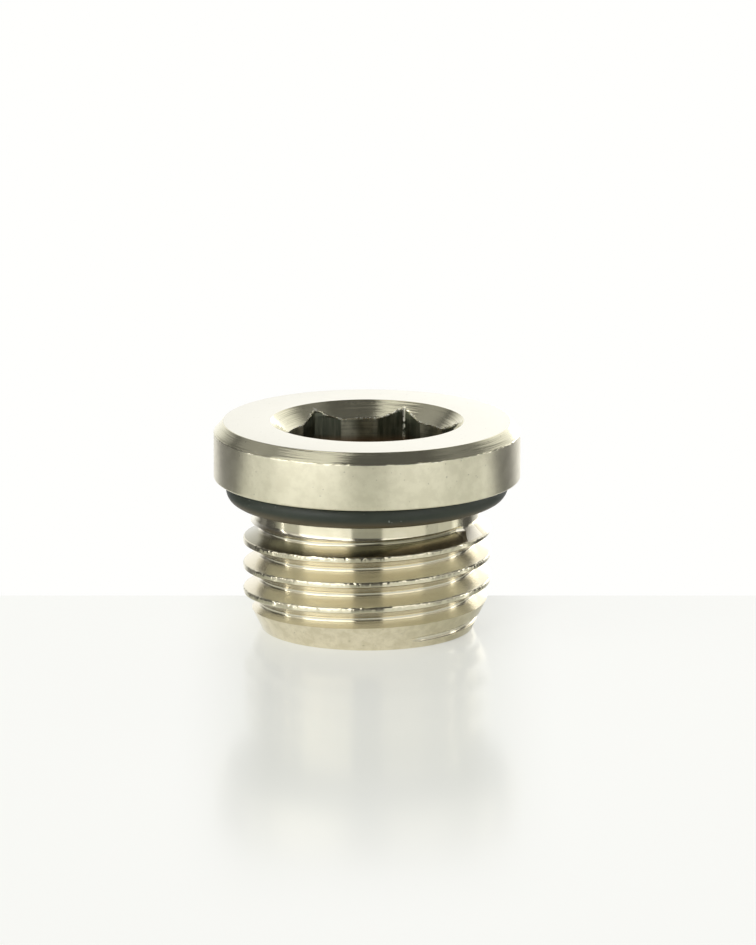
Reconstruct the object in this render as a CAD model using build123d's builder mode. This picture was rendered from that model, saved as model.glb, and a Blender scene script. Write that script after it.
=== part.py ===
from build123d import *
import os
from math import ceil, cos, radians, sin, tan

# Hex socket plug with a G 1/4 thread and an O-ring under its collar, in millimetres.
# The plug stands on its nose: the origin is the centre of the nose face, +Z is the axis,
# and the hexagon socket opens upwards. Directions round the axis are in degrees from +X.

# ---- Body ----------------------------------------------------------------------------
total_length = 11.0
collar_thickness = 3.0
collar_lip = 0.5              # flat ring of the collar's underside, outside the recess
collar_edge_break = 0.1
top_chamfer_width = 0.5
top_chamfer_height = 0.58
neck_relief = 0.625           # from the thread's crests in to the neck
neck_length = 2.05            # from the collar's underside down to the thread's shoulder
shoulder_angle = 45.0         # between the shoulder and the axis
nose_chamfer_width = 0.975    # from the thread's crests in to the nose face
nose_chamfer_angle = 26.0     # between the nose chamfer and the axis

# ---- Thread: G 1/4, right-hand, 19 turns to the inch, 55 degree form -------------------
thread_diameter = 12.95
threads_per_inch = 19
thread_depth = 0.856
thread_flank_angle = 27.5     # between a flank and the plane square to the axis
groove_end_drop = 0.025       # from the neck down to the centre of the groove where it runs out
groove_end_direction = -32.0
cutter_overlap = 0.25         # how far the cutter stands out beyond the crests

# ---- Socket for the key, and the hole drilled before it is broached --------------------
key_size = 8.0
key_clearance = 0.2
socket_depth = 5.0
socket_direction = 5.6        # direction of one corner of the hexagon
pilot_oversize = 0.2          # the drill is this much wider than the hexagon, and scallops its flats
pilot_depth = 6.0
drill_point_angle = 118.0
countersink_margin = 0.3      # how far the countersink's rim clears the hexagon's corners
countersink_angle = 90.0

# ---- O-ring, and the shallow recess that keeps it under the collar ---------------------
ring_section = 1.5
ring_flattening = 0.04        # the section is this much lower than it is wide
ring_neck_gap = 0.02
ring_top_gap = 0.16           # between the ring and the floor of its recess
ring_side_gap = 0.13          # between the ring and the wall of its recess
ring_lean = 0.7               # the ring sits slightly askew, lower on the -X side
recess_depth = 0.4

# ---- Radii, heights and planes that follow ---------------------------------------------
crest_radius = thread_diameter / 2
root_radius = crest_radius - thread_depth
nose_radius = crest_radius - nose_chamfer_width
neck_radius = crest_radius - neck_relief
ring_centre_radius = neck_radius + ring_neck_gap + ring_section / 2
recess_radius = ring_centre_radius + ring_section / 2 + ring_side_gap
collar_radius = recess_radius + collar_lip
top_face_radius = collar_radius - top_chamfer_width

flat_radius = (key_size + key_clearance) / 2
corner_radius = flat_radius / cos(radians(30))
pilot_radius = flat_radius + pilot_oversize / 2
countersink_radius = corner_radius + countersink_margin

underside_height = total_length - collar_thickness
recess_floor_height = underside_height + recess_depth
neck_low_height = underside_height - neck_length
shoulder_low_height = neck_low_height - neck_relief / tan(radians(shoulder_angle))
nose_chamfer_height = nose_chamfer_width / tan(radians(nose_chamfer_angle))
countersink_depth = (countersink_radius - pilot_radius) / tan(radians(countersink_angle / 2))
drill_point_depth = pilot_depth + pilot_radius / tan(radians(drill_point_angle / 2))
ring_height = recess_floor_height - ring_top_gap - (ring_section - ring_flattening) / 2

thread_pitch = 25.4 / threads_per_inch
flank_slope = tan(radians(thread_flank_angle))
root_flat = thread_pitch / 2 - thread_depth * flank_slope
cutter_radius = crest_radius + cutter_overlap
cutter_half_width = root_flat / 2 + (cutter_radius - root_radius) * flank_slope

# The groove starts clear below the nose and climbs to its end in the shoulder.
groove_end_height = neck_low_height - groove_end_drop
groove_rise = groove_end_height + cutter_half_width + cutter_overlap
groove_start_height = groove_end_height - groove_rise
groove_start_direction = groove_end_direction - 360 * groove_rise / thread_pitch
groove_cuts = ceil(groove_rise / thread_pitch)
cut_rise = groove_rise / groove_cuts
cut_turn = 360 * cut_rise / thread_pitch


def axial_plane(direction, height):
    """A plane through the axis: its x runs outwards in one direction, and its y upwards."""
    angle = radians(direction)
    outwards = (cos(angle), sin(angle), 0)
    sideways = (sin(angle), -cos(angle), 0)
    return Plane(origin=(0, 0, height), x_dir=outwards, z_dir=sideways)


with BuildPart() as plug_body:
    # The turned blank.
    with BuildSketch(Plane.XZ):
        with BuildLine():
            Polyline(
                (0, 0),
                (nose_radius, 0),
                (crest_radius, nose_chamfer_height),
                (crest_radius, shoulder_low_height),
                (neck_radius, neck_low_height),
                (neck_radius, recess_floor_height),
                (recess_radius, recess_floor_height),
                (recess_radius, underside_height),
                (collar_radius - collar_edge_break, underside_height),
                (collar_radius, underside_height + collar_edge_break),
                (collar_radius, total_length - top_chamfer_height),
                (top_face_radius, total_length),
                (0, total_length),
                close=True,
            )
        make_face()
    revolve(axis=Axis.Z)

    # The thread: one helical groove, cut in passes of less than a turn that follow each other.
    for cut in range(groove_cuts):
        cut_height = groove_start_height + cut * cut_rise
        cut_direction = groove_start_direction + cut * cut_turn
        with BuildLine() as helix:
            Helix(pitch=thread_pitch, height=cut_rise, radius=root_radius, center=(0, 0, cut_height))
        with BuildSketch(axial_plane(cut_direction, cut_height)):
            with BuildLine():
                Polyline(
                    (root_radius, -root_flat / 2),
                    (root_radius, root_flat / 2),
                    (cutter_radius, cutter_half_width),
                    (cutter_radius, -cutter_half_width),
                    close=True,
                )
            make_face()
        sweep(path=helix.line.rotate(Axis.Z, cut_direction), is_frenet=True, mode=Mode.SUBTRACT)

    # The pilot hole with its drill point and countersink.
    with BuildSketch(axial_plane(0, total_length)):
        with BuildLine():
            Polyline(
                (0, 0),
                (countersink_radius, 0),
                (pilot_radius, -countersink_depth),
                (pilot_radius, -pilot_depth),
                (0, -drill_point_depth),
                close=True,
            )
        make_face()
    revolve(axis=Axis.Z, mode=Mode.SUBTRACT)

    # The hexagon, broached down the pilot hole.
    with BuildSketch(Plane.XY.offset(total_length)):
        RegularPolygon(radius=corner_radius, side_count=6, rotation=socket_direction)
    extrude(amount=-socket_depth, mode=Mode.SUBTRACT)

# The O-ring, round the neck and a little askew.
ring_plane = Plane.XY.offset(ring_height).rotated((0, -ring_lean, 0))
section_plane = Plane(ring_plane.origin, x_dir=ring_plane.x_dir, z_dir=-ring_plane.y_dir)
with BuildPart() as o_ring:
    with BuildSketch(section_plane):
        with Locations((ring_centre_radius, 0)):
            Ellipse(ring_section / 2, (ring_section - ring_flattening) / 2)
    revolve(axis=Axis(ring_plane.origin, ring_plane.z_dir))

plug_body.part.label = "plug_body"
o_ring.part.label = "o_ring"

os.makedirs("parts", exist_ok=True)
export_step(plug_body.part, "parts/plug_body.step")
export_step(o_ring.part, "parts/o_ring.step")
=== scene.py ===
import bpy
import bmesh
from math import cos, pi, radians, sin, tan, tau
from mathutils import Matrix, Vector, noise


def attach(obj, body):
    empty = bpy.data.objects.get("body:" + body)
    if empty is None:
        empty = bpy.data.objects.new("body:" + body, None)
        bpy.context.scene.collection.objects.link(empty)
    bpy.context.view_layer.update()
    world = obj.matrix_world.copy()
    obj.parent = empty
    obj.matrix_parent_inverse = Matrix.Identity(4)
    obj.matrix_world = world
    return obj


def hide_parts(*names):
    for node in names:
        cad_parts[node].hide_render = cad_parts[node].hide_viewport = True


# A hex socket plug with a G 1/4 thread and an O-ring under its collar. It stands on its nose on a
# glossy white plate. Lengths are in millimetres until a finished mesh is brought to metres, and
# directions round the axis are in degrees from X.

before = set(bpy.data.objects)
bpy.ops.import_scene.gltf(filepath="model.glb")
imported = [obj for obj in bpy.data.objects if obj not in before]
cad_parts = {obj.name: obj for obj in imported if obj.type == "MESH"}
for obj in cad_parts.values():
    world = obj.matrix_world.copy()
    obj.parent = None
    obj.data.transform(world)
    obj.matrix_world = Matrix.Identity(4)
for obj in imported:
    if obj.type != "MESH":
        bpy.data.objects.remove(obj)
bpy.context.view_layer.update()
MM = 0.001
DEGREES = 180 / pi

# ---- Sizes of the plug, as its solids have them --------------------------------------------
TOTAL_LENGTH = 11.0
UNDERSIDE = 8.0
RECESS_FLOOR = 8.4
NECK_LOW = 5.95
COLLAR_RADIUS = 8.0
TOP_FACE_RADIUS = 7.5
TOP_CHAMFER_HEIGHT = 0.58
CHAMFER_LOW = TOTAL_LENGTH - TOP_CHAMFER_HEIGHT
RECESS_RADIUS = 7.5
NECK_RADIUS = 5.85
NOSE_RADIUS = 5.5
NOSE_CHAMFER_HEIGHT = 1.999
CREST_RADIUS = 6.475
NOSE_SLOPE = (CREST_RADIUS - NOSE_RADIUS) / NOSE_CHAMFER_HEIGHT
ROOT_RADIUS = 5.65
SHOULDER_LOW = 5.325
PITCH = 25.4 / 19
FLANK_SLOPE = tan(radians(27.5))
ROOT_FLAT = 0.2229
FLAT_RADIUS = 4.1
CORNER_RADIUS = FLAT_RADIUS / cos(radians(30))
SOCKET_DEPTH = 5.0
SOCKET_DIRECTION = 5.6
PILOT_RADIUS = 4.2
PILOT_DEPTH = 6.0
POINT_DEPTH = 8.524
DRILL_POINT = TOTAL_LENGTH - POINT_DEPTH
COUNTERSINK_RADIUS = 5.034
CONE = TOTAL_LENGTH - COUNTERSINK_RADIUS  # height less radius, on the countersink
RING_CENTRE_RADIUS = 6.62
RING_HEIGHT = 7.51
RING_HALF_WIDTH = 0.75
RING_HALF_HEIGHT = 0.73
RING_LEAN = 0.7

# ---- Details that the solids leave out -------------------------------------------------------
AROUND = 480                  # steps round the axis
GROOVE_END_DIRECTION = -20.0  # the groove ends further round than in the solids, on the same helix
GROOVE_END_HEIGHT = 5.969
GROOVE_TURNS = 6
SCOOP = 15.0                  # degrees in which the tool leaves the groove
SCOOP_STEPS = 15
SCOOP_CURVE = 0.87            # below 1, it leaves faster at first
SCOOP_LEAN = 0.6
SCOOP_CLEARANCE = 0.12        # how far beyond the crest it ends
BURR = 0.022                  # how far the burred edge of a crest wanders
RUN_OUT_HEIGHT = 0.47         # below this the groove fades out of the nose, within RUN_OUT_FADE
RUN_OUT_FADE = 0.1
RUN_OUT_LIFT = 0.06
TEAR_FINENESS = 0.7           # how often a torn edge is torn, per mm
ELSEWHERE = Vector((17, 5, 11))  # far enough in the noise to be unrelated
HEXAGON_LEVELS = 36           # rows of points up the hexagon's walls
HEXAGON_LEVEL_HEIGHT = 0.13
HEXAGON_FIRST_LEVEL = 0.2     # above its floor
SMOOTH_BELOW = radians(24)    # edges of the body that bend less are shaded smooth
TOLERANCE = 1e-3


# ---- Shader expressions --------------------------------------------------------------------
class Value:
    """A shader socket that can be used in an expression."""

    def __init__(self, nodes, socket):
        self.nodes, self.socket = nodes, socket

    def math(self, operation, *others):
        return self.nodes.add("ShaderNodeMath", {"operation": operation}, [self, *others])

    def __add__(self, other):
        return self.math("ADD", other)

    def __sub__(self, other):
        return self.math("SUBTRACT", other)

    def __rsub__(self, other):
        return self.nodes.add("ShaderNodeMath", {"operation": "SUBTRACT"}, [other, self])

    def __mul__(self, other):
        return self.math("MULTIPLY", other)

    __radd__, __rmul__ = __add__, __mul__


class Nodes:
    """The node tree of a material or of the world."""

    def __init__(self, owner):
        owner.use_nodes = True
        self.tree = owner.node_tree
        self.tree.nodes.clear()

    def add(self, kind, settings=None, inputs=(), out=0):
        node = self.tree.nodes.new(kind)
        for name, value in (settings or {}).items():
            setattr(node, name, value)
        for key, value in inputs.items() if isinstance(inputs, dict) else enumerate(inputs):
            if isinstance(value, Value):
                self.tree.links.new(value.socket, node.inputs[key])
            else:
                node.inputs[key].default_value = value
        return Value(self, node.outputs[out]) if len(node.outputs) else node

    def axes(self, vector):
        return [self.add("ShaderNodeSeparateXYZ", None, [vector], axis) for axis in range(3)]

    def millimetres(self):
        """The place on the piece, in millimetres."""
        place = self.add("ShaderNodeTexCoord", None, [], "Object")
        return self.add("ShaderNodeVectorMath", {"operation": "SCALE"}, {0: place, "Scale": 1 / MM})

    def step(self, value, low, high, start=0.0, end=1.0):
        """Goes smoothly from start at low to end at high."""
        return self.add("ShaderNodeMapRange", {"interpolation_type": "SMOOTHSTEP"},
                        [value, low, high, start, end])

    def fall(self, value, low, high):
        """Goes smoothly from 1 at low to 0 at high."""
        return self.step(value, low, high, 1.0, 0.0)

    def between(self, value, low, high, soft):
        """1 where the value lies between low and high, with soft edges."""
        return (self.step(value, low - soft / 2, low + soft / 2)
                * self.fall(value, high - soft / 2, high + soft / 2))

    def grain(self, vector, scale, detail=2.0, rough=0.5):
        """Even noise from 0 to 1, about 0.5."""
        return self.add("ShaderNodeTexNoise", None,
                        {"Vector": vector, "Scale": scale, "Detail": detail, "Roughness": rough}, "Fac")

    def turning(self, x, y, z, across, along):
        """Marks that run round the axis: fine across (per mm), and slow to change along them."""
        radius = (x * x + y * y).math("SQRT")
        section = self.add("ShaderNodeCombineXYZ", None, [radius * across, z * across, x * along])
        return self.add("ShaderNodeTexNoise", {"noise_dimensions": "4D"},
                        {"Vector": section, "W": y * along, "Scale": 1.0, "Detail": 2.0}, "Fac")

    def blend(self, amount, first, second):
        """The first colour where the amount is 0, and the second where it is 1."""
        return self.add("ShaderNodeMix", {"data_type": "RGBA"}, {0: amount, 6: first, 7: second}, 2)

    def relief(self, height, depth):
        """A bump that is this many millimetres deep where the height is 1."""
        return self.add("ShaderNodeBump", None, {"Height": height, "Distance": depth * MM, "Strength": 1.0})


# ---- Mesh helpers ----------------------------------------------------------------------------
def section_line(bm, points, close=False):
    """Joins (radius, height) points in the plane of X and Z by a line, and returns its vertices."""
    verts = [bm.verts.new((radius, 0, height)) for radius, height in points]
    for pair in zip(verts, verts[1:] + (verts[:1] if close else [])):
        bm.edges.new(pair)
    return verts


def whole(bm):
    return bm.verts[:] + bm.edges[:] + bm.faces[:]


def only(kind, parts):
    return [part for part in parts if isinstance(part, kind)]


def spin_round(bm):
    """Spins a line once round the axis and joins it up."""
    bmesh.ops.spin(bm, geom=bm.verts[:] + bm.edges[:], cent=(0, 0, 0), axis=(0, 0, 1), dvec=(0, 0, 0),
                   angle=tau, steps=AROUND, use_merge=True, use_normal_flip=False, use_duplicate=False)
    bmesh.ops.remove_doubles(bm, verts=bm.verts, dist=1e-5)
    bmesh.ops.recalc_face_normals(bm, faces=bm.faces)


def turned(points):
    """The solid that a line of (radius, height) points sweeps."""
    bm = bmesh.new()
    section_line(bm, points)
    spin_round(bm)
    return bm


def round_ring(bm, radius, height, offset, segments):
    """Rounds off the edge that runs round the axis at a radius and a height."""
    def on_ring(vert):
        return abs(vert.co.xy.length - radius) < TOLERANCE and abs(vert.co.z - height) < TOLERANCE
    ring = [edge for edge in bm.edges if all(on_ring(vert) for vert in edge.verts)]
    bmesh.ops.bevel(bm, geom=ring, offset=offset, offset_type="OFFSET", segments=segments,
                    profile=0.5, affect="EDGES", material=-1)


def ragged(verts, amount, fineness, raised=0.0, torn=0.0):
    """Moves points out or in and up or down, unevenly, and further where the noise tears them."""
    for vert in verts:
        place = vert.co * fineness
        reach = amount * (1 + torn * max(0, noise.noise(vert.co * TEAR_FINENESS)))
        outward = noise.noise(place) + raised
        upward = noise.noise(place + ELSEWHERE)
        away = Vector((vert.co.x, vert.co.y, 0)).normalized()
        vert.co += away * outward * reach + Vector((0, 0, upward * reach))


def make_object(name, bm):
    mesh = bpy.data.meshes.new(name)
    bm.to_mesh(mesh)
    bm.free()
    piece = bpy.data.objects.new(name, mesh)
    bpy.context.scene.collection.objects.link(piece)
    return piece


def cut(piece, cutters):
    """Cuts the closed cutters out of a piece, and leaves the result as its mesh."""
    for cutter in cutters:
        step = piece.modifiers.new("cut", "BOOLEAN")
        step.operation, step.solver, step.object = "DIFFERENCE", "MANIFOLD", cutter
    evaluated = piece.evaluated_get(bpy.context.evaluated_depsgraph_get())
    mesh = bpy.data.meshes.new_from_object(evaluated)
    piece.modifiers.clear()
    piece.data = mesh
    for cutter in cutters:
        bpy.data.objects.remove(cutter)


# ---- The turned blank ------------------------------------------------------------------------
# Some edges have a point close by, so that what is done to them doesn't spread.
blank = turned([
    (0, 0),
    (NOSE_RADIUS, 0),
    (CREST_RADIUS, NOSE_CHAMFER_HEIGHT),
    (CREST_RADIUS, SHOULDER_LOW - 0.06),
    (CREST_RADIUS, SHOULDER_LOW),
    (CREST_RADIUS - 0.05, SHOULDER_LOW + 0.05),
    (NECK_RADIUS, NECK_LOW),
    (NECK_RADIUS, RECESS_FLOOR),
    (RECESS_RADIUS, RECESS_FLOOR),
    (RECESS_RADIUS, UNDERSIDE),
    (COLLAR_RADIUS, UNDERSIDE),
    (COLLAR_RADIUS, CHAMFER_LOW - 0.09),
    (COLLAR_RADIUS, CHAMFER_LOW),
    (COLLAR_RADIUS - 0.065, CHAMFER_LOW + 0.0754),
    (TOP_FACE_RADIUS, TOTAL_LENGTH),
    (0, TOTAL_LENGTH),
])
# Its edges: radius, height, how much is rounded off, and in how many segments
for radius, height, offset, segments in (
        (NOSE_RADIUS, 0, 0.05, 4),
        (CREST_RADIUS, SHOULDER_LOW, 0.03, 2),
        (NECK_RADIUS, NECK_LOW, 0.12, 4),
        (RECESS_RADIUS, UNDERSIDE, 0.03, 3),
        (COLLAR_RADIUS, UNDERSIDE, 0.1, 6),
        (COLLAR_RADIUS, CHAMFER_LOW, 0.04, 3),
        (TOP_FACE_RADIUS, TOTAL_LENGTH, 0.04, 4)):
    round_ring(blank, radius, height, offset, segments)
collar_edge = [vert for vert in blank.verts
               if vert.co.xy.length > COLLAR_RADIUS - 0.02 and abs(vert.co.z - CHAMFER_LOW) < 0.03]
shoulder_edge = [vert for vert in blank.verts
                 if vert.co.xy.length > CREST_RADIUS - 0.02 and abs(vert.co.z - SHOULDER_LOW) < 0.02]
ragged(collar_edge, 0.028, 9.0, raised=0.2)
ragged(shoulder_edge, 0.02, 9.0, raised=0.5)
plug = make_object("turned_plug_body", blank)

# ---- The groove of the thread ----------------------------------------------------------------
# Its section is open outwards. Its lower lip is the upper edge of a crest, where the tool left a burr.
groove = bmesh.new()


def wall(radius):
    """Half the groove's width at a radius."""
    return ROOT_FLAT / 2 + (radius - ROOT_RADIUS) * FLANK_SLOPE


flank_foot = ROOT_RADIUS + 0.12
upper_lip, burr_start = CREST_RADIUS - 0.03, CREST_RADIUS - 0.048
upper_side, lower_side = wall(upper_lip), -wall(burr_start)
section = section_line(groove, [
    (ROOT_RADIUS, -ROOT_FLAT / 2),
    (ROOT_RADIUS, ROOT_FLAT / 2),
    (flank_foot, wall(flank_foot)),
    (upper_lip - 0.05, wall(upper_lip - 0.05)),
    (upper_lip, upper_side),
    (CREST_RADIUS + 0.03, upper_side + 0.07),
    (CREST_RADIUS + 0.25, upper_side + 0.08),
    (CREST_RADIUS + 0.25, lower_side - 0.12),
    (CREST_RADIUS + 0.004, lower_side - 0.105),
    (CREST_RADIUS - 0.010, lower_side - 0.060),
    (CREST_RADIUS - 0.026, lower_side - 0.026),
    (burr_start, lower_side),
    (burr_start - 0.05, -wall(burr_start - 0.05)),
    (flank_foot, -wall(flank_foot)),
], close=True)
groove.faces.new(section)
bmesh.ops.bevel(groove, geom=section[:2], offset=0.085, offset_type="OFFSET", segments=5,
                profile=0.5, affect="VERTICES", material=-1)
bmesh.ops.delete(groove, geom=groove.faces[:], context="FACES_ONLY")
scoop_rise = PITCH * SCOOP / 360
bmesh.ops.transform(groove, verts=groove.verts,
                    matrix=Matrix.Translation((0, 0, GROOVE_END_HEIGHT - scoop_rise))
                    @ Matrix.Rotation(radians(GROOVE_END_DIRECTION - SCOOP), 4, "Z"))
ending = groove.edges[:]

# One turn down from the start of the scoop, and its copies below it
bmesh.ops.spin(groove, geom=groove.verts[:] + groove.edges[:], cent=(0, 0, 0), axis=(0, 0, 1),
               dvec=(0, 0, -PITCH / AROUND), angle=-tau, steps=AROUND,
               use_merge=False, use_normal_flip=False, use_duplicate=False)
top_turn = whole(groove)
for count in range(1, GROOVE_TURNS):
    copy = bmesh.ops.duplicate(groove, geom=top_turn)["geom"]
    bmesh.ops.translate(groove, vec=(0, 0, -PITCH * count), verts=only(bmesh.types.BMVert, copy))


def below_middle(vert):
    """How far a point of the groove lies below the middle line of its own turn."""
    way = Vector((vert.co.x, vert.co.y)).angle_signed(Vector((1, 0)), 0.0)
    middle = GROOVE_END_HEIGHT + PITCH * (way - radians(GROOVE_END_DIRECTION)) / tau
    return (middle - vert.co.z + PITCH / 2) % PITCH - PITCH / 2


# The scoop in which the tool leaves the work, leaning back so that it faces up a little
for count in range(SCOOP_STEPS):
    before, after = ((part / SCOOP_STEPS) ** SCOOP_CURVE for part in (count, count + 1))
    lifted = bmesh.ops.extrude_edge_only(groove, edges=ending)["geom"]
    ending, verts = only(bmesh.types.BMEdge, lifted), only(bmesh.types.BMVert, lifted)
    way = radians(GROOVE_END_DIRECTION - SCOOP * (1 - (count + 0.5) / SCOOP_STEPS))
    reach = CREST_RADIUS - ROOT_RADIUS + SCOOP_CLEARANCE
    outward = Vector((cos(way), sin(way), 0)) * reach * (after - before)
    bmesh.ops.transform(groove, verts=verts,
                        matrix=Matrix.Translation(outward + Vector((0, 0, scoop_rise / SCOOP_STEPS)))
                        @ Matrix.Rotation(radians(SCOOP / SCOOP_STEPS), 4, "Z"))
    for vert in verts:
        vert.co += outward * SCOOP_LEAN * below_middle(vert)
bmesh.ops.remove_doubles(groove, verts=groove.verts, dist=1e-4)
bmesh.ops.holes_fill(groove, edges=[edge for edge in groove.edges if edge.is_boundary], sides=0)
bmesh.ops.recalc_face_normals(groove, faces=groove.faces)

burred_edge = [vert for vert in groove.verts
               if -0.035 < vert.co.xy.length - CREST_RADIUS < 0.01 and below_middle(vert) > 0.3]
ragged(burred_edge, BURR, 8.0, raised=0.1, torn=1.5)

# Where it meets the chamfer of the nose, the groove runs out
for vert in groove.verts:
    middle = vert.co.z + below_middle(vert)
    if middle < RUN_OUT_HEIGHT:
        lift = 1 + RUN_OUT_LIFT * min(1, (RUN_OUT_HEIGHT - middle) / RUN_OUT_FADE)
        vert.co.x, vert.co.y = vert.co.x * lift, vert.co.y * lift

groove_cutter = make_object("groove_cutter", groove)

# ---- The socket: pilot hole, countersink and hexagon -----------------------------------------
ABOVE = 0.5                   # how far the cutters stand out of the top
# The countersink's cone gets points all the way down it, every 0.07
pilot_cutter = make_object("pilot_cutter", turned([
    (0, TOTAL_LENGTH + ABOVE),
    (COUNTERSINK_RADIUS + ABOVE, TOTAL_LENGTH + ABOVE),
    *[(COUNTERSINK_RADIUS - depth / 100, TOTAL_LENGTH - depth / 100) for depth in range(6, 80, 7)],
    (PILOT_RADIUS, TOTAL_LENGTH - (COUNTERSINK_RADIUS - PILOT_RADIUS)),
    (PILOT_RADIUS, TOTAL_LENGTH - PILOT_DEPTH),
    (0, DRILL_POINT),
]))

hexagon = bmesh.new()
bmesh.ops.create_circle(hexagon, cap_ends=True, segments=6, radius=CORNER_RADIUS)
bmesh.ops.rotate(hexagon, cent=(0, 0, 0), verts=hexagon.verts,
                 matrix=Matrix.Rotation(radians(SOCKET_DIRECTION - 90), 3, "Z"))
bmesh.ops.translate(hexagon, vec=(0, 0, TOTAL_LENGTH - SOCKET_DEPTH), verts=hexagon.verts)
lifted = bmesh.ops.extrude_face_region(hexagon, geom=hexagon.faces[:], use_keep_orig=True)["geom"]
bmesh.ops.translate(hexagon, vec=(0, 0, SOCKET_DEPTH + ABOVE), verts=only(bmesh.types.BMVert, lifted))
corners = [edge for edge in hexagon.edges if abs(edge.verts[0].co.z - edge.verts[1].co.z) > 1]
bmesh.ops.bevel(hexagon, geom=corners, offset=0.06, offset_type="OFFSET", segments=3, profile=0.5,
                affect="EDGES", material=-1)
for level in range(HEXAGON_LEVELS):
    level_height = TOTAL_LENGTH - SOCKET_DEPTH + HEXAGON_FIRST_LEVEL + HEXAGON_LEVEL_HEIGHT * level
    bmesh.ops.bisect_plane(hexagon, geom=whole(hexagon), dist=1e-5,
                           plane_co=(0, 0, level_height), plane_no=(0, 0, 1))
ragged([vert for vert in hexagon.verts if vert.co.xy.length > CORNER_RADIUS - 0.026], 0.035, 4.0)
bmesh.ops.recalc_face_normals(hexagon, faces=hexagon.faces)
hexagon_cutter = make_object("hexagon_cutter", hexagon)

cut(plug, [groove_cutter, pilot_cutter, hexagon_cutter])

# ---- Edges of the body, and metres -----------------------------------------------------------
body = bmesh.new()
body.from_mesh(plug.data)
bmesh.ops.remove_doubles(body, verts=body.verts, dist=2e-4)
for face in body.faces:
    face.smooth = True
for edge in body.edges:
    edge.smooth = len(edge.link_faces) == 2 and edge.calc_face_angle() < SMOOTH_BELOW


def on_cone_edge(vert):
    """Where a wall of the hexagon meets the countersink."""
    radius = vert.co.xy.length
    return (PILOT_RADIUS + 0.02 < radius < CORNER_RADIUS + 0.05
            and abs(vert.co.z - radius - CONE) < 0.01)


# The broach tore the edge where it broke out of the countersink
torn = [edge for edge in body.edges if not edge.smooth and all(on_cone_edge(vert) for vert in edge.verts)]
broken = bmesh.ops.bevel(body, geom=torn, offset=0.05, offset_type="OFFSET", segments=2, profile=0.5,
                         affect="EDGES", material=-1, clamp_overlap=True)
beside_bore = [vert for vert in broken["verts"] if vert.co.xy.length > PILOT_RADIUS + 0.06]
ragged(beside_bore, 0.035, 6.0, raised=0.3)
near_corner = [vert for vert in broken["verts"] if vert.co.xy.length > CORNER_RADIUS - 0.22]
ragged(near_corner, 0.10, 5.0, raised=0.3)
for face in broken["faces"]:
    face.smooth = True
bmesh.ops.scale(body, vec=(MM, MM, MM), verts=body.verts)
body.to_mesh(plug.data)
body.free()
weigh = plug.modifiers.new("even_normals", "WEIGHTED_NORMAL")
weigh.keep_sharp = True

# ---- The O-ring ------------------------------------------------------------------------------
ring = bmesh.new()
bmesh.ops.create_circle(ring, cap_ends=False, segments=40, radius=RING_HALF_WIDTH)
bmesh.ops.scale(ring, vec=(1, RING_HALF_HEIGHT / RING_HALF_WIDTH, 1), verts=ring.verts)
bmesh.ops.rotate(ring, cent=(0, 0, 0), matrix=Matrix.Rotation(pi / 2, 3, "X"), verts=ring.verts)
bmesh.ops.translate(ring, vec=(RING_CENTRE_RADIUS, 0, 0), verts=ring.verts)
spin_round(ring)
ragged(ring.verts, 0.012, 0.6)
bmesh.ops.rotate(ring, cent=(0, 0, 0), matrix=Matrix.Rotation(radians(-RING_LEAN), 3, "Y"), verts=ring.verts)
bmesh.ops.translate(ring, vec=(0, 0, RING_HEIGHT), verts=ring.verts)
for face in ring.faces:
    face.smooth = True
bmesh.ops.scale(ring, vec=(MM, MM, MM), verts=ring.verts)
seal = make_object("rubber_o_ring", ring)

# ---- Nickel plate ------------------------------------------------------------------------------
# Satin on the collar, brighter on the neck and the thread, dull and darker inside the socket.
# Two colours are the ends of a blend: cloudy or mottled, or as the line says.
NECK_NICKEL = (0.71, 0.66, 0.50, 1), (0.76, 0.713, 0.555, 1)
NOSE_NICKEL = (0.695, 0.63, 0.465, 1), (0.80, 0.735, 0.57, 1)
WALL_NICKEL = (0.84, 0.79, 0.625, 1), (0.92, 0.87, 0.70, 1)
TOP_HIGHLIGHT_NICKEL = (0.775, 0.755, 0.675, 1)
CHAMFER_NICKEL = (0.72, 0.685, 0.505, 1), (0.77, 0.735, 0.555, 1)
GROOVE_NICKEL_AND_REFLECTION = (0.765, 0.702, 0.53, 1), (0.85, 0.81, 0.70, 1)          # facing up, and facing down
SCOOP_HIGHLIGHT = (0.96, 0.91, 0.78, 1)
# Painted shade for the first groove: brown, and darker
GROOVE_SHADE_BROWN = (0.40, 0.34, 0.24, 1)
GROOVE_SHADE_DARK = (0.20, 0.195, 0.13, 1)
BROACHED_NICKEL = (0.15, 0.165, 0.125, 1), (0.26, 0.27, 0.205, 1)       # between the streaks, and on them
BORED_NICKEL = (0.30, 0.30, 0.23, 1), (0.66, 0.65, 0.52, 1)
DEEP_BROWN = (0.42, 0.27, 0.16, 1)
PAINTED_GLINT = (0.90, 0.88, 0.76, 1)
PIT = (0.30, 0.27, 0.20, 1)

nickel = bpy.data.materials.new("nickel_plate")
shade = Nodes(nickel)
place = shade.millimetres()
x, y, z = shade.axes(place)
radius = (x * x + y * y).math("SQRT")

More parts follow.
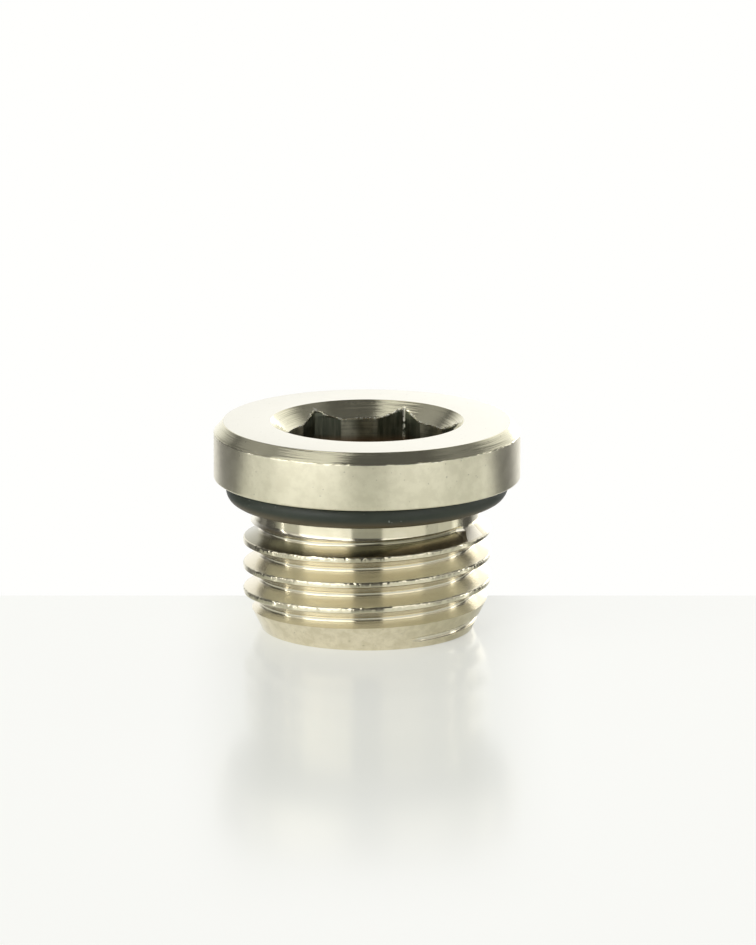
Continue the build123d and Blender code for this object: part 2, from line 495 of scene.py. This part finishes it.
# Which surface it is, from 0 to 1. The wall is the collar's, and it shares its satin with the top.
on_collar = shade.step(z, UNDERSIDE - 0.3, UNDERSIDE + 0.1)
in_socket = (shade.fall(z - radius, CONE - 0.066, CONE - 0.016)
             * shade.fall(radius, CORNER_RADIUS + 0.046, CORNER_RADIUS + 0.106)
             * shade.step(z, DRILL_POINT - 0.276, DRILL_POINT - 0.076))
on_cone = (shade.fall(radius, COUNTERSINK_RADIUS - 0.004, COUNTERSINK_RADIUS + 0.046)
           * shade.step(z, TOTAL_LENGTH - 1.0, TOTAL_LENGTH - 0.9) * (1 - in_socket))
top_edge = TOP_FACE_RADIUS - TOTAL_LENGTH
on_chamfer = (shade.step(radius - z, top_edge - 0.02, top_edge + 0.03)
              * shade.step(z, CHAMFER_LOW - 0.04, CHAMFER_LOW + 0.02))
sunk = (NOSE_RADIUS + NOSE_SLOPE * z).math("MINIMUM", CREST_RADIUS) - radius
in_groove = shade.step(sunk, 0.04, 0.10) * shade.fall(z, NECK_LOW - 0.1, NECK_LOW + 0.05)
in_root = shade.fall(radius, ROOT_RADIUS + 0.05, ROOT_RADIUS + 0.09) * in_groove
on_nose = shade.fall(z, NOSE_CHAMFER_HEIGHT - 0.1, NOSE_CHAMFER_HEIGHT + 0.05) * (1 - in_groove)
on_wall = on_collar * (1 - on_chamfer) * (1 - on_cone) * (1 - in_socket)
below_top = shade.fall(z, TOTAL_LENGTH - 0.5, TOTAL_LENGTH - 0.1)
on_top = shade.step(z, TOTAL_LENGTH - 0.1, TOTAL_LENGTH - 0.01)
bored = shade.fall(radius, PILOT_RADIUS + 0.004, PILOT_RADIUS + 0.02)
coarse = on_cone + on_chamfer

# Marks of the tools, and unevenness
fine_marks = shade.turning(x, y, z, 14.0, 0.3)
broad_marks = shade.turning(x, y, z, 6.0, 0.2)
broached = shade.add("ShaderNodeVectorMath", {"operation": "MULTIPLY"}, {0: place, 1: (7.0, 7.0, 0.6)})
broach_marks = shade.grain(broached, 1.0, 3.0)
satin = shade.grain(place, 6.0, 3.0, 0.6)
clouds = shade.grain(place, 1.1, 3.0, 0.55)
pits = shade.step(shade.grain(place, 5.0, 1.0), 0.72, 0.78)
mottles = shade.step(shade.grain(place, 1.7, 4.0, 0.6), 0.35, 0.65)

# Heights in thousandths of a millimetre
height = ((fine_marks - 0.5) * (0.4 + 7.0 * coarse)
          + (broad_marks - 0.5) * (1.0 + 26.0 * coarse)
          + (satin - 0.5) * (0.1 + 0.5 * on_collar)
          + (broach_marks - 0.5) * 14.0 * in_socket * (1 - bored)
          - 0.8 * pits * on_collar)

# Colours of the outside
metal = shade.blend(shade.step(clouds, 0.3, 0.7), *NECK_NICKEL)
metal = shade.blend(on_nose, metal, shade.blend(mottles, *NOSE_NICKEL))
metal = shade.blend(on_wall * below_top, metal, shade.blend(mottles, *WALL_NICKEL))
# The top face's more neutral colour is a painted highlight
metal = shade.blend(on_wall * on_top, metal, TOP_HIGHLIGHT_NICKEL)
metal = shade.blend(coarse, metal, shade.blend(clouds, *CHAMFER_NICKEL))

# The direction in degrees, from the groove's end back to a whole turn before it; how far a place is
# below the middle of the groove's top turn; and the same in turns, without the whole ones
turn = y.math("ARCTAN2", x) * DEGREES
turn = turn - turn.math("GREATER_THAN", GROOVE_END_DIRECTION) * 360
below_groove = GROOVE_END_HEIGHT + (turn - GROOVE_END_DIRECTION) * (PITCH / 360) - z
turns = below_groove * (1 / PITCH)
turns = turns - turns.math("FLOOR")
facing_down = shade.step(turns, 0.55, 0.65)
# Flanks facing down get the lighter colour, a painted reflection
metal = shade.blend(in_groove, metal, shade.blend(facing_down, *GROOVE_NICKEL_AND_REFLECTION))

# Near its end the groove has painted shade, brown to the right and darkest low in it; the scoop has a painted
# highlight
scoop_start = GROOVE_END_DIRECTION - SCOOP
in_scoop = shade.step(turn, scoop_start - 1.5, scoop_start + 1)
first_turn = in_groove * shade.step(turn, -330, -300)
on_right = shade.step(x, -1.0, 3.0)
first_groove = first_turn * shade.between(below_groove, -0.55, 0.60, 0.08)
painted_groove_shade = (first_turn * (1 - in_scoop) * shade.between(below_groove + 0.42 * on_right, 0.10, 0.60, 0.12)
           * (1 - shade.between(x, -3.3, -1.0, 0.5)))
metal = shade.blend(first_groove * (1 - in_scoop) * on_right * 0.6, metal, GROOVE_SHADE_BROWN)
metal = shade.blend(painted_groove_shade * 0.75, metal, GROOVE_SHADE_DARK)
# The scoop's near-white colour is a painted highlight
metal = shade.blend(first_groove * in_scoop * 0.9, metal, SCOOP_HIGHLIGHT)

# Inside, the walls are dark, with streaks along the broach's marks. In the middle of each the drilled hole
# shows, with marks round the axis, and lower down they are brown.
streaks = shade.step(broach_marks, 0.38, 0.68)
broached_metal = shade.blend(streaks, *BROACHED_NICKEL)
bored_metal = shade.blend(shade.step(clouds + 0.5 * fine_marks, 0.55, 0.95), *BORED_NICKEL)
inner_metal = shade.blend(bored * shade.step(z, 8.6, 9.6), broached_metal, bored_metal)
browned = shade.step(z, 9.4, 8.9) * shade.step(z, 7.2, 8.4, 0.25, 0.75)
inner_metal = shade.blend(browned, inner_metal, DEEP_BROWN)
metal = shade.blend(in_socket, metal, inner_metal)

# Painted glints on the torn edge between the walls and the countersink, and on the corners to the right
flat_distance = 0.0
for side in range(3):
    way = radians(SOCKET_DIRECTION + 30 + 60 * side)
    flat_distance = (x * cos(way) + y * sin(way)).math("ABSOLUTE").math("MAXIMUM", flat_distance)
speckle = shade.grain(place, 4.5, 2.0)
rim_end = FLAT_RADIUS + 0.05 + 0.10 * shade.step(radius, 4.4, 4.75)
rim = (shade.fall(flat_distance, FLAT_RADIUS + 0.02, rim_end)
       .math("MAXIMUM", shade.fall(radius, PILOT_RADIUS + 0.03, PILOT_RADIUS + 0.06)))
rim = (rim * shade.step(z - radius, CONE - 0.066, CONE - 0.026) * shade.step(speckle, 0.46, 0.62)
       * shade.step(z, 9.6, 9.8))
corner = (in_socket * shade.step(radius, CORNER_RADIUS - 0.05, CORNER_RADIUS - 0.035)
          * shade.step(speckle, 0.46, 0.54) * shade.step(x, 0.0, 0.5))
painted_glints = rim + corner - rim * corner
metal = shade.blend(painted_glints, metal, PAINTED_GLINT)
metal = shade.blend(pits * 0.35, metal, PIT)

dull = (0.12 + 0.05 * clouds + 0.05 * fine_marks * coarse + 0.10 * in_groove - 0.08 * in_root
        + 0.14 * in_socket + 0.30 * painted_glints)
relief = shade.relief(height, 0.001)
turned_skin = shade.add("ShaderNodeBsdfPrincipled", None, {
    "Base Color": metal, "Metallic": 1.0, "Roughness": dull, "Anisotropic": 0.9, "Anisotropic Rotation": 0.25,
    "Normal": relief})
satin_skin = shade.add("ShaderNodeBsdfPrincipled", None, {
    "Base Color": metal, "Metallic": 1.0, "Roughness": 0.24 + 0.05 * clouds + 0.08 * satin, "Normal": relief})
surface = shade.add("ShaderNodeMixShader", None, [on_wall, turned_skin, satin_skin])
shade.add("ShaderNodeOutputMaterial", None, {"Surface": surface})

# ---- Black rubber, a little dusty ----------------------------------------------------------------
BLACK_RUBBER = (0.016, 0.024, 0.015, 1), (0.026, 0.035, 0.023, 1)
RING_UNDERSIDE_REFLECTION = (0.095, 0.067, 0.026, 1)
DUST = (0.30, 0.33, 0.30, 1)
rubber = bpy.data.materials.new("black_rubber")
shade = Nodes(rubber)
place = shade.millimetres()
x, y, z = shade.axes(place)
skin = shade.grain(place, 9.0, 3.0, 0.6)
bloom = shade.grain(place, 0.8, 3.0)
dust = shade.step(shade.grain(place, 4.2, 1.0), 0.735, 0.775)
black = shade.blend(shade.step(bloom, 0.3, 0.7), *BLACK_RUBBER)
# Browner on its lower part: painted reflection
low = shade.step(z, RING_HEIGHT - 0.16, RING_HEIGHT - 0.61)
black = shade.blend(low * 0.9, black, RING_UNDERSIDE_REFLECTION)
black = shade.blend(dust * 0.55, black, DUST)
surface = shade.add("ShaderNodeBsdfPrincipled", None, {
    "Base Color": black, "Roughness": 0.42 + 0.12 * bloom + 0.2 * dust, "IOR": 1.6,
    "Normal": shade.relief(skin + 1.2 * dust, 0.002)})
shade.add("ShaderNodeOutputMaterial", None, {"Surface": surface})

# ---- The glossy white plate ------------------------------------------------------------------------
PLATE_WHITE = (0.89, 0.915, 0.80, 1), (0.91, 0.935, 0.83, 1)
GLOW_SEEN, GLOW_IN_STRIP, GLOW_MIRRORED = 0.80, 0.43, 0.08
plate_white = bpy.data.materials.new("plate_white")
shade = Nodes(plate_white)
place = shade.millimetres()
x, y, z = shade.axes(place)
smears = shade.grain(place, 0.05, 4.0)
gloss = shade.add("ShaderNodeBsdfPrincipled", None, {
    "Base Color": shade.blend(smears, *PLATE_WHITE), "Roughness": 0.105 + 0.05 * smears,
    "Specular IOR Level": 0.32})
glow = shade.add("ShaderNodeEmission", None, {"Color": (1.0, 1.0, 0.975, 1), "Strength": 1.0})
seen = shade.add("ShaderNodeLightPath", None, [], "Is Camera Ray")
mirrored = shade.add("ShaderNodeLightPath", None, [], "Is Glossy Ray")
# To the camera it glows less in the strip before the plug, where it mirrors the plug. As the plug
# mirrors it, it glows more near the plug and to the plug's left.
strip = shade.fall(x.math("ABSOLUTE"), 4.5, 10.0) * shade.fall(-1 * y, 25.0, 60.0)
near = (shade.step((x * x + y * y).math("SQRT"), 7.5, 10.0, 0.45, 0.0)
        * (1 - shade.step(x, 0.0, 6.0, 0.0, 0.9)))
share = seen * (GLOW_SEEN - (GLOW_SEEN - GLOW_IN_STRIP) * strip) + mirrored * (GLOW_MIRRORED + near)
surface = shade.add("ShaderNodeMixShader", None, [share, gloss, glow])
shade.add("ShaderNodeOutputMaterial", None, {"Surface": surface})

plug.data.materials.clear()
plug.data.materials.append(nickel)
seal.data.materials.append(rubber)
for name, piece, slot in (("plug_body", plug, "nickel_plate"), ("o_ring", seal, "black_rubber")):
    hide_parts(name)
    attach(piece, "root")

# ---- The plate it stands on ------------------------------------------------------------------------
PLATE_BACK = 6.6              # where its back edge lies
PLATE_WIDTH, PLATE_DEPTH, PLATE_THICKNESS = 600, 500, 3
slab = bmesh.new()
bmesh.ops.create_cube(slab, size=1)
bmesh.ops.scale(slab, vec=(PLATE_WIDTH, PLATE_DEPTH, PLATE_THICKNESS), verts=slab.verts)
bmesh.ops.translate(slab, vec=(0, PLATE_BACK - PLATE_DEPTH / 2, -PLATE_THICKNESS / 2), verts=slab.verts)
bmesh.ops.scale(slab, vec=(MM, MM, MM), verts=slab.verts)
plate = make_object("plate", slab)
plate.data.materials.append(plate_white)

# ---- Studio light: a white tent, open where the camera looks in --------------------------------------
# Azimuth is counted from the camera's side, positive to its right, and elevation upwards.
world = bpy.data.worlds.new("light_tent")
bpy.context.scene.world = world
tent = Nodes(world)
x, y, z = tent.axes(tent.add("ShaderNodeTexCoord", None, [], "Generated"))
azimuth = x.math("ARCTAN2", -1 * y) * DEGREES
elevation = z.math("ARCSINE") * DEGREES
aside = azimuth.math("ABSOLUTE")

SHADE, DARKEST = 0.10, 0.05
# Its panels: from and to in azimuth, bottom and top, strength, softness of the sides, and of bottom and top
PANELS = (
    (-158, -134, 8, 26, 0.12, 6, 8),
    (-138, -126, -40, 20, 0.12, 5, 8),
    (-135, -97, 27, 56, 0.26, 10, 12),
    (-100, -73, -5, 28, 0.5, 4, 12),
    (-96.7, -95.3, -5, 26, 6.0, 1, 6),
    (-92, -36, 42, 83, 0.78, 10, 8),
    (-88, -52, 20, 40, 0.9, 8, 10),
    (-73, -15.5, -5, 38, 1.85, 3, 12),
    (-73, -15.5, 24, 38, 0.5, 3, 12),
    (-73, -24, -5, 6, 0.2, 3, 4),
    (-27, -15.5, -5, 20, -0.3, 4, 8),
    (15.5, 62, -5, 32, 1.35, 3, 12),
    (15.5, 100, -14, 7, -0.45, 3, 4),
    (62, 84, -5, 30, 0.65, 4, 12),
    (84, 106, -5, 26, 0.7, 4, 12),
    (84, 117, 38, 62, 0.15, 10, 12),
    (99, 108, 4, 20, 2.3, 1.5, 5),
    (103, 115, -6, 7, 1.1, 2, 3),
    (127, 168, -3, 12, 0.9, 3, 3),
    (136, 177, -8, 6, 1.5, 6, 4),
)
light = SHADE
for start, end, bottom, top, strength, soft_side, soft_top in PANELS:
    light += (tent.between(azimuth, start, end, soft_side)
              * tent.between(elevation, bottom, top, soft_top) * strength)
# The wall behind the plug: its left half and its right half, their upper part, and a patch on the left
light += tent.step(0 - azimuth, 136, 164, 0.0, 1.0) * tent.between(elevation, -70, 34, 20)
light += tent.step(azimuth + 0.5 * elevation, 124, 166, 0.0, 1.22) * tent.between(elevation, -70, 40, 20)
light += tent.step(aside, 146, 160, 0.0, 1.1) * tent.between(elevation, 38, 78, 12)
light += tent.step(0 - azimuth, 166, 178, 0.0, 0.1) * tent.between(elevation, 4, 30, 8)
# Where negative panels outweigh the others there is still a little light
light = light.math("MAXIMUM", DARKEST)
seen = tent.add("ShaderNodeLightPath", None, [], "Is Camera Ray")
backdrop = tent.add("ShaderNodeBackground", None, {
    "Color": (1, 1, 0.985, 1), "Strength": light * (1 - seen) + seen})
tent.add("ShaderNodeOutputWorld", None, {"Surface": backdrop})

# A soft spot from the front lights the plate round the nose
SPOT_AZIMUTH, SPOT_ELEVATION = radians(-20), radians(50)
SPOT_DISTANCE = 400
spot_data = bpy.data.lights.new("front_spot", "SPOT")
spot_data.energy, spot_data.shadow_soft_size = 3.4, 0.04
spot_data.spot_size, spot_data.spot_blend = radians(6.5), 1.0
spot = bpy.data.objects.new("front_spot", spot_data)
bpy.context.scene.collection.objects.link(spot)
spot_way = Vector((sin(SPOT_AZIMUTH) * cos(SPOT_ELEVATION), -cos(SPOT_AZIMUTH) * cos(SPOT_ELEVATION),
                   sin(SPOT_ELEVATION)))
spot.location = spot_way * SPOT_DISTANCE * MM
spot.rotation_euler = spot_way.to_track_quat("Z", "Y").to_euler()
spot.visible_glossy = False

# ---- Camera ------------------------------------------------------------------------------------
IMAGE_WIDTH, IMAGE_HEIGHT = 756, 945
PIXELS_PER_MM = 19.14
DISTANCE = 530.0
ELEVATION = radians(13.27)
TARGET_PIXEL = (367.05, 523.1)  # where the plug's middle comes
SENSOR = 36
camera_data = bpy.data.cameras.new("camera")
camera = bpy.data.objects.new("camera", camera_data)
bpy.context.scene.collection.objects.link(camera)
target = Vector((0, 0, TOTAL_LENGTH / 2)) * MM
camera.location = target + Vector((0, -cos(ELEVATION), sin(ELEVATION))) * DISTANCE * MM
camera.rotation_euler = (pi / 2 - ELEVATION, 0, 0)
camera_data.sensor_width = SENSOR
camera_data.lens = PIXELS_PER_MM * DISTANCE * SENSOR / IMAGE_HEIGHT
camera_data.shift_x = (IMAGE_WIDTH / 2 - TARGET_PIXEL[0]) / IMAGE_HEIGHT
camera_data.shift_y = (TARGET_PIXEL[1] - IMAGE_HEIGHT / 2) / IMAGE_HEIGHT
camera_data.clip_start, camera_data.clip_end = 0.01, 10
bpy.context.scene.camera = camera
bpy.context.scene.view_settings.view_transform = "Standard"
